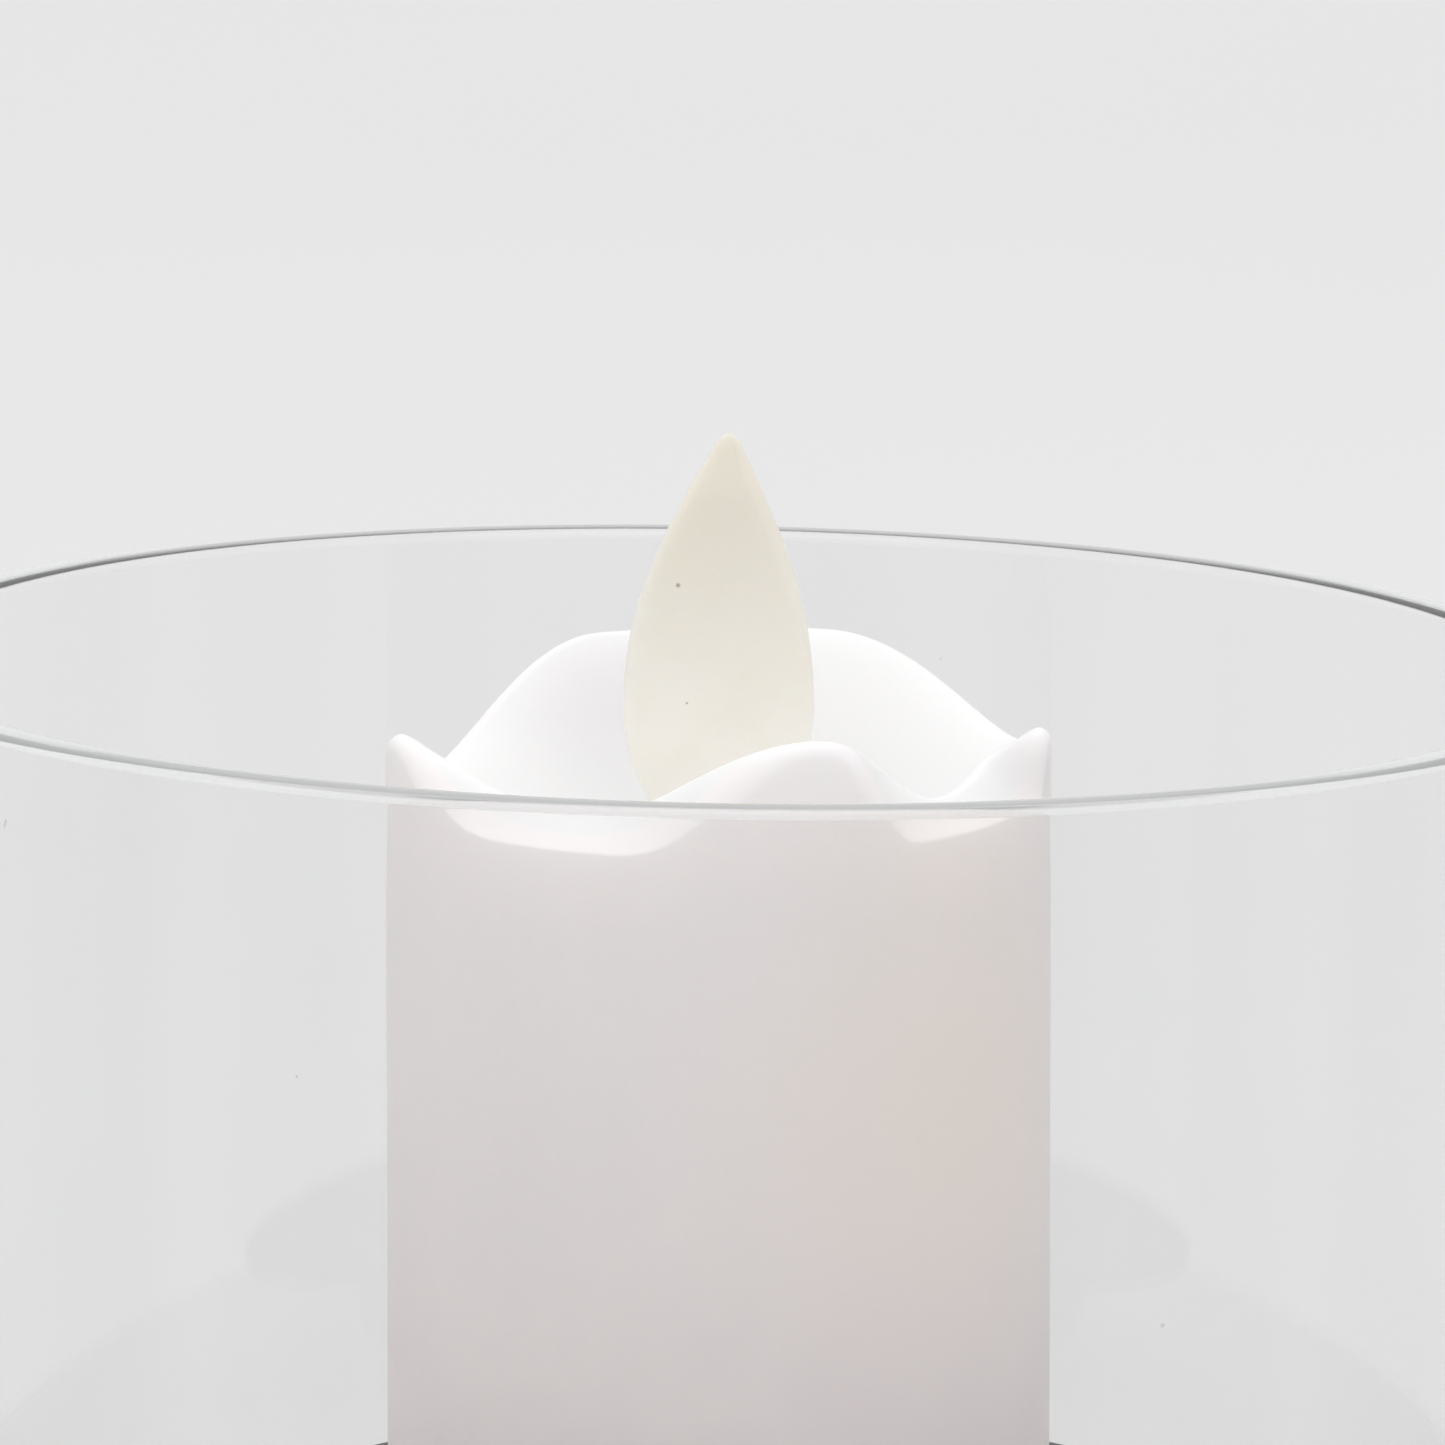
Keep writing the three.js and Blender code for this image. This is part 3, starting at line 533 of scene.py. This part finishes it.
def revolve(section, segments, centre=(0, 0)):
    """Vertices and faces of a closed ring: section(degrees) lists its (radius, z) points in order.
    A section that starts and ends at radius 0 becomes a solid with two poles."""
    rings = [section(360 * i / segments) for i in range(segments)]
    count = len(rings[0])
    solid = rings[0][0][0] == 0
    verts, faces = [], []
    for i, ring in enumerate(rings):
        x, y = direction(360 * i / segments)
        for r, z in ring:
            verts.append((centre[0] + r * x, centre[1] + r * y, z))
    for i in range(segments):
        here, there = i * count, (i + 1) % segments * count
        for j in range(count - 1 if solid else count):
            k = (j + 1) % count
            faces.append((here + j, there + j, there + k, here + k))
    if solid:
        verts, faces = join_poles(verts, faces, segments, count)
    return verts, faces


def join_poles(verts, faces, segments, count):
    """Gives all the first and all the last points of the rings one vertex each."""
    poles = {i * count: 0 for i in range(segments)}
    poles.update({i * count + count - 1: count - 1 for i in range(segments)})
    joined = []
    for face in faces:
        kept = []
        for v in (poles.get(v, v) for v in face):
            if v not in kept:
                kept.append(v)
        joined.append(tuple(kept))
    used = sorted({v for face in joined for v in face})
    place = {v: i for i, v in enumerate(used)}
    return [verts[v] for v in used], [tuple(place[v] for v in face) for face in joined]


def arc(cx, cz, radius_x, radius_z, start, end, steps):
    """Points of an elliptic arc in a section, both ends included."""
    points = []
    for i in range(steps + 1):
        angle = math.radians(start + (end - start) * i / steps)
        points.append((cx + radius_x * math.cos(angle), cz + radius_z * math.sin(angle)))
    return points


def along(start, end, steps, crown=0.0):
    """Points strictly between two section points, raised towards the middle by a crown."""
    points = []
    for i in range(1, steps):
        share = i / steps
        r, z = (a + (b - a) * share for a, b in zip(start, end))
        points.append((r, z + 4 * crown * share * (1 - share)))
    return points


# ---------------------------------------------------------------- pieces: holder


def base_section(_):
    """Turned base: rounded rim, flange, low boss, and a counterbored hole up the middle."""
    bottom, top = BASE_LO.z, BASE_HI.z
    radius, flange, boss = BASE_HI.x, FLANGE_TOP, BOSS_RADIUS
    return [
        (HEAD_HOLE, bottom + 0.3), (HEAD_HOLE + 0.3, bottom), (radius * 0.5, bottom),
        (radius - 3, bottom),
        *arc(radius - 1.6, bottom + 1.6, 1.6, 1.6, -90, 0, 6),
        *arc(radius - 2.0, flange - 2.0, 2.0, 2.0, 0, 90, 8),
        (radius - 4, flange), (GLASS_OUTER, flange), (boss + 0.25, flange),
        *arc(boss + 0.2, flange + 0.2, -0.2, -0.2, 90, 0, 3),
        *arc(boss - 0.6, top - 0.6, 0.6, 0.6, 0, 90, 6),
        (boss - 2, top), (33, top), (12, top), (SHANK_HOLE + 0.2, top), (SHANK_HOLE, top - 0.2),
        (SHANK_HOLE, SCREW_SEAT), (HEAD_HOLE, SCREW_SEAT),
    ]


def make_base():
    verts, faces = revolve(base_section, 256)
    obj = mesh_object("turned_base", verts, faces, WOOD)
    stand_for(obj, "holder", "base_wood", "base_body")


def cup_section(_):
    """Metal cup: foot with a screw hole, round bottom corner, wall and flared rim."""
    foot, rim, flare = CUP_LO.z, CUP_HI.z, CUP_HI.x
    lift, edge = CUP_EDGE_LIFT, 0.15
    inner, sheet, floor, foot_radius = CUP_INNER, CUP_SHEET, CUP_FLOOR, CUP_FOOT_RADIUS
    wall = inner + sheet
    return [
        (0, floor - 0.5), (1.1, floor - 0.5), (1.1, foot + 0.2), (1.3, foot),
        (foot_radius - 0.3, foot), (foot_radius, foot + 0.3), (foot_radius, floor - sheet - 0.4),
        *arc(foot_radius + 0.4, floor - sheet - 0.4, -0.4, 0.4, 0, 90, 3),
        *arc(wall - 1.4, floor + 0.4, 1.4, 1.4, -90, 0, 6),
        (wall, rim - sheet - 1.6),
        *arc(wall + 1.5, rim - sheet - 1.5, -1.5, 1.5, 0, 90, 6),
        (flare - 2, rim - sheet + lift * 0.6),
        *arc(flare - edge, rim - sheet + lift + edge, edge, edge, -90, 0, 3),
        *arc(flare - edge, rim + lift - edge, edge, edge, 0, 90, 3),
        (flare - 2, rim + lift * 0.6), (wall + 1.6, rim),
        *arc(wall + 1.0, rim - 2.0, -2.0, 2.0, 90, 0, 8),
        (inner, floor + 1.0), *arc(inner - 0.8, floor + 0.8, 0.8, -0.8, 0, 90, 4),
        (10, floor), (0, floor),
    ]


def make_candle_cup():
    verts, faces = revolve(cup_section, 192)
    obj = mesh_object("black_cup", verts, faces, POWDER_COAT)
    stand_for(obj, "holder", "cup_black", "candle_cup")


def make_pads():
    for i in range(1, 5):
        name = f"felt_pad_{i}"
        lo, hi = node_box(name)
        centre = ((lo.x + hi.x) / 2, (lo.y + hi.y) / 2)
        radius = (hi.x - lo.x) / 2

        def section(_, radius=radius, lo=lo, hi=hi):
            return [
                (0, lo.z), (radius * 0.6, lo.z), (radius - 0.3, lo.z),
                *arc(radius - 0.25, lo.z + 0.25, 0.25, 0.25, -90, 0, 3),
                (radius, hi.z - 0.05), (radius - 0.1, hi.z), (radius * 0.6, hi.z), (0, hi.z),
            ]

        verts, faces = revolve(section, 64, centre)
        obj = mesh_object(f"felt_disc_{i}", verts, faces, FELT)
        stand_for(obj, "holder", "pad_felt", name)


def glass_section(degrees):
    """Drawn tube: nearly flat rim with fire-polished edges, sloping down towards +X, and an eased foot."""
    outer, inner = GLASS_OUTER, GLASS_OUTER - GLASS_WALL
    foot = GLASS_LO.z
    rim = MEAN_RIM - RIM_SLOPE * outer * direction(degrees)[0]
    ease, polish, crown = 0.6, 0.6, 0.05
    side_top = rim - crown - polish
    return [
        *arc(inner + ease, foot + ease, -ease, -ease, 0, 90, 6),
        *arc(outer - ease, foot + ease, ease, -ease, 90, 0, 6),
        *along((outer, foot + ease), (outer, side_top), 12),
        *arc(outer - polish, side_top, polish, polish, 0, 86, 12),
        *along((outer - polish, rim - crown), (inner + polish, rim - crown), 6, crown),
        *arc(inner + polish, side_top, polish, polish, 94, 180, 12),
        *along((inner, side_top), (inner, foot + ease), 12),
    ]


def make_glass():
    verts, faces = revolve(glass_section, 384)
    obj = mesh_object("clear_cylinder", verts, faces, GLASS)
    stand_for(obj, "glass", "glass_clear", "glass_cylinder")


# ---------------------------------------------------------------- pieces: tealight outside


def lip_wave(degrees):
    """Height of the lip above its mean, eased from each crest and trough to the next."""
    first = LIP_WAVE[0][0]
    turn = (degrees - first) % 360 + first
    stations = (*LIP_WAVE, (first + 360, LIP_WAVE[0][1]))
    for (a, low), (b, high) in zip(stations, stations[1:]):
        if a <= turn <= b:
            share = (turn - a) / (b - a)
            return low + (high - low) * (1 - math.cos(math.pi * share)) / 2
    raise ValueError("the lip's stations don't close")


def ledge_share(degrees):
    """1 on a ledge, 0 away from both."""
    share = 0
    for middle, full, end in LEDGES:
        away = abs((degrees - middle + 180) % 360 - 180)
        rise = min(max((end - away) / (end - full), 0), 1)
        share = max(share, rise * rise * (3 - 2 * rise))
    return share


def shell_section(degrees):
    """Outer wall, lip, bowl and inner wall. The bowl leaves the rounded lip on a soft shoulder, drops
    steeply and flattens into its floor."""
    wave = lip_wave(degrees)
    lip = MEAN_LIP + wave
    ledge = ledge_share(degrees)
    roll = LIP_ROLL + ledge * (wave + LEDGE_DEPTH - LIP_ROLL)
    width = LIP_WIDTH + LEDGE_WIDTH * ledge
    outer, inner = SHELL_RADIUS, SHELL_INNER
    foot = CANDLE_FOOT
    points = [(outer - 0.3, foot), (outer, foot + 0.3), (outer, foot + 1.2)]
    points += along((outer, foot + 1.2), (outer, lip - roll - 0.5), 9)
    points += [(outer, lip - roll - 0.5), (outer, lip - roll - 0.12)]
    roll_steps = 8
    for i, (r, z) in enumerate(arc(outer - width, lip - roll, width, roll, 0, 90, roll_steps)):
        ledge_r = outer - width * i / roll_steps
        ledge_z = lip - roll + roll * (i / roll_steps) ** 1.5
        points.append((r + (ledge_r - r) * LEDGE_BLEND * ledge, z + (ledge_z - z) * LEDGE_BLEND * ledge))
    crest, bowl_foot, bowl_steps = outer - width, 8.0, 16
    for i in range(1, bowl_steps + 1):
        share = i / bowl_steps
        r = crest + (bowl_foot - crest) * share
        fall = share**1.6 * (3 - 2 * share**0.8)
        points.append((r, lip + (BOWL_FLOOR - lip) * fall))
    under = BOWL_UNDERSIDE
    points += [
        (BOWL_HOLE + 0.3, BOWL_FLOOR),
        (BOWL_HOLE, BOWL_FLOOR - 0.3), (BOWL_HOLE, under + 0.3), (BOWL_HOLE + 0.3, under),
        (9.3, under + 0.6), (13.3, under + 1.8 + 0.2 * wave), (15.6, under + 3.2 + 0.45 * wave),
        (inner - 0.4, under + 4.2 + 0.55 * wave), (inner, under + 3.4 + 0.5 * wave),
        (inner, under - 3), (inner, foot + 20), (inner, foot + 1.2), (inner, foot + 0.3),
        (inner + 0.3, foot),
    ]
    return points


def make_shell():
    verts, faces = revolve(shell_section, 144)
    obj = mesh_object("wavy_shell", verts, faces, SHELL, 2)
    stand_for(obj, "candle", "shell_white", "candle_shell")


def smooth_curve(stations, value):
    """Catmull-Rom through (position, value) stations, for unevenly spaced positions."""
    for i in range(len(stations) - 1):
        (a, low), (b, high) = stations[i], stations[i + 1]
        if a <= value <= b or i == len(stations) - 2:
            before = stations[max(i - 1, 0)]
            after = stations[min(i + 2, len(stations) - 1)]
            slope_a = (high - before[1]) / (b - before[0])
            slope_b = (after[1] - low) / (after[0] - a)
            t = (value - a) / (b - a)
            span = b - a
            return (
                (2 * t**3 - 3 * t**2 + 1) * low + (t**3 - 2 * t**2 + t) * span * slope_a
                + (3 * t**2 - 2 * t**3) * high + (t**3 - t**2) * span * slope_b
            )
    raise ValueError("no stations")


def flame_ring(height, half, centre, thickness, bevel_right):
    """One closed cross-section of the vane: flat faces and rounded edges."""
    left = min(0.5, half * 0.45)
    right = min(bevel_right, half * 0.5)
    front = [
        (-half, -0.3), (-half + 0.12 * left, -0.62), (-half + 0.45 * left, -0.88),
        (-half + left, -0.985), (-0.55 * half, -1.02), (0, -1.06), (0.55 * half, -1.02),
        (half - right - 0.08, -1.0), (half - right, -0.99), (half - 0.85 * right, -0.93),
        (half - 0.1 * right, -0.5), (half, -0.3),
    ]
    ring = [(centre + x, y * thickness, height) for x, y in front]
    ring += [(centre + x, -y * thickness, height) for x, y in reversed(front)]
    return ring


def flame_rings():
    """The vane's cross-sections from its neck up, closer together towards the tip."""
    neck_bottom = node_box("flame_magnet")[1].z + 1.0
    stations = [(MEAN_LIP + z, half) for z, half in FLAME_SIDE]
    stations = [(neck_bottom, 2.6), (neck_bottom + 6, 2.6)] + stations
    tip = MEAN_LIP + FLAME_TIP
    rings = []
    steps = 46
    top = tip - 0.02
    for i in range(steps + 1):
        share = i / steps
        z = neck_bottom + (top - neck_bottom) * (1 - (1 - share) ** 1.8)
        if z <= stations[-1][0]:
            half = smooth_curve(stations, z)
        else:
            last_z, last_half = stations[-1]
            half = last_half * math.sqrt((tip - z) / (tip - last_z))
        above = max(z - MEAN_LIP, 0)
        centre = FLAME_LEAN * (above / FLAME_TIP) ** 2
        thickness = FLAME_HALF_THICKNESS * min(1, 0.35 + 0.65 * half / 2.2)
        bevel = 0.14 + 0.5 * min(max((above - 1.5) / 7, 0), 1)
        rings.append(flame_ring(z, half, centre, thickness, bevel))
    return rings


def make_flame():
    """Leaf-shaped vane down to its neck, with the wire's eye cut through it."""
    rings = flame_rings()
    count = len(rings[0])
    verts = [v for ring in rings for v in ring]
    faces = []
    for i in range(len(rings) - 1):
        for j in range(count):
            k = (j + 1) % count
            faces.append((i * count + j, i * count + k, (i + 1) * count + k, (i + 1) * count + j))
    half_count = count // 2
    last = (len(rings) - 1) * count
    for j in range(half_count - 1):
        mirror = count - 1 - j
        faces.append((j, j + 1, mirror - 1, mirror))
        faces.append((last + j, last + j + 1, last + mirror - 1, last + mirror))
    obj = mesh_object("flame_vane", verts, faces, IVORY, 2)
    pivot = node_box("pivot_wire")
    cut_round_hole(obj, (0, 0, (pivot[0].z + pivot[1].z) / 2), 0.7)
    stand_for(obj, "flame", "flame_ivory", "flame")


def cut_round_hole(obj, centre, radius):
    """Cuts a hole along Y through obj and applies its modifiers."""
    bpy.ops.mesh.primitive_cylinder_add(
        vertices=48, radius=radius * MM, depth=6 * MM,
        location=[c * MM for c in centre], rotation=(math.pi / 2, 0, 0),
    )
    drill = bpy.context.object
    cut = obj.modifiers.new("eye", "BOOLEAN")
    cut.object = drill
    cut.operation = "DIFFERENCE"
    cut.solver = "EXACT"
    bpy.context.view_layer.update()
    evaluated = obj.evaluated_get(bpy.context.evaluated_depsgraph_get())
    final = bpy.data.meshes.new_from_object(evaluated)
    obj.modifiers.clear()
    obj.data = final
    bpy.data.objects.remove(drill)


def make_magnet_cup():
    """Magnet cup at the lower end of the flame."""
    lo, hi = node_box("flame_magnet")
    outer, inner = 4.4, 3.7
    bottom, roof, top = lo.z - 0.2, hi.z + 0.3, hi.z + 1.3

    def section(_):
        return [
            (0, roof), (inner - 0.3, roof), *arc(inner - 0.2, roof - 0.2, 0.2, 0.2, 90, 0, 3),
            (inner, bottom + 0.3), (inner + 0.15, bottom), (outer - 0.15, bottom),
            (outer, bottom + 0.2), (outer, top - 0.6),
            *arc(outer - 0.5, top - 0.5, 0.5, 0.5, 0, 90, 4), (2.6, top), (0, top),
        ]

    verts, faces = revolve(section, 72)
    obj = mesh_object("magnet_cup", verts, faces, IVORY)
    stand_for(obj, "flame", "flame_ivory")


# ---------------------------------------------------------------- CAD nodes kept, with finer materials

FINISHES = {
    "cup_screw": STEEL, "flame_magnet": NICKEL, "pivot_wire": STEEL, "pivot_frame": NATURAL, "led": EPOXY,
    "coil_bobbin": BLACK, "coil_winding": COPPER, "circuit_board": BOARD, "driver_chip": CHIP,
    "capacitor": SLEEVE, "chassis": WHITE, "battery_door": WHITE, "battery_door_screw": STEEL,
    "coin_cell": NICKEL, "contact_negative": NICKEL, "contact_positive": NICKEL,
    "switch_body": BLACK, "switch_slider": BLACK,
}
NUMBERED = {
    "frame_screw": (3, STEEL), "board_screw": (2, STEEL), "led_lead": (2, STEEL),
    "resistor": (2, CHIP), "switch_wire": (2, BLACK),
}


def finish_cad_nodes():
    finishes = dict(FINISHES)
    for stem, (count, material) in NUMBERED.items():
        for i in range(1, count + 1):
            finishes[f"{stem}_{i}"] = material
    for name, material in finishes.items():
        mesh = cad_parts[name].data
        mesh.materials.clear()
        mesh.materials.append(material)


# ---------------------------------------------------------------- stage, light and camera


def make_floor():
    """Wide pale floor whose edge lies far outside every view."""
    size, z = 9000, -0.02
    corners = [(-size, -size, z), (size, -size, z), (size, size, z), (-size, size, z)]
    m = Nodes("studio_floor")
    tone = m.blend(m.spread(m.noise(3, 2.0), 0.3, 0.7), rgb(0.735, 0.735, 0.735), rgb(0.745, 0.745, 0.745))
    paper = m.finish(m.shader(Base_Color=tone, Roughness=0.9, Specular_IOR_Level=0.1).outputs[0])
    floor = mesh_object("studio_floor", corners, [(0, 1, 2, 3)], paper)


def make_world():
    """Even white surroundings, brightest above, in front and to the left."""
    world = bpy.data.worlds.new("studio")
    bpy.context.scene.world = world
    world.use_nodes = True
    tree = world.node_tree
    background = tree.nodes["Background"]
    place = tree.nodes.new("ShaderNodeTexCoord")
    towards = tree.nodes.new("ShaderNodeVectorMath")
    towards.operation = "DOT_PRODUCT"
    tree.links.new(place.outputs["Generated"], towards.inputs[0])
    towards.inputs[1].default_value = Vector((-0.12, -0.2, 0.95)).normalized()
    ramp = tree.nodes.new("ShaderNodeMapRange")
    tree.links.new(towards.outputs["Value"], ramp.inputs["Value"])
    ramp.inputs["From Min"].default_value = -0.4
    ramp.inputs["From Max"].default_value = 1.0
    ramp.inputs["To Min"].default_value = 0.72
    ramp.inputs["To Max"].default_value = 1.15
    tree.links.new(ramp.outputs["Result"], background.inputs["Strength"])
    background.inputs["Color"].default_value = rgb(1, 1, 1)


def area_light(name, place, target, size, watts):
    data = bpy.data.lights.new(name, "AREA")
    data.shape = "DISK"
    data.size = size
    data.energy = watts
    light = bpy.data.objects.new(name, data)
    light.location = place
    light.rotation_mode = "QUATERNION"
    light.rotation_quaternion = (Vector(target) - Vector(place)).to_track_quat("-Z", "Y")
    bpy.context.scene.collection.objects.link(light)


def make_camera():
    e = math.radians(VIEW_ELEVATION)
    data = bpy.data.cameras.new("camera")
    data.sensor_width = 36
    data.lens = data.sensor_width * VIEW_DISTANCE / FIELD_WIDTH
    data.clip_start, data.clip_end = 0.05, 50
    camera = bpy.data.objects.new("camera", data)
    back = Vector((0, -math.cos(e), math.sin(e)))
    camera.location = (AIM + back * VIEW_DISTANCE) * MM
    camera.rotation_mode = "QUATERNION"
    camera.rotation_quaternion = (-back).to_track_quat("-Z", "Y")
    bpy.context.scene.collection.objects.link(camera)
    bpy.context.scene.camera = camera


make_camera()
make_base()
make_candle_cup()
make_pads()
make_glass()
make_shell()
make_flame()
make_magnet_cup()
finish_cad_nodes()
make_floor()
make_world()
area_light("overhead", (0.05, -0.3, 1.0), (0, 0, 0.05), 0.8, 1.15)
bpy.context.scene.view_settings.view_transform = "Standard"
bpy.context.scene.cycles.max_bounces = 16
bpy.context.scene.cycles.glossy_bounces = 14
bpy.context.scene.cycles.transmission_bounces = 14
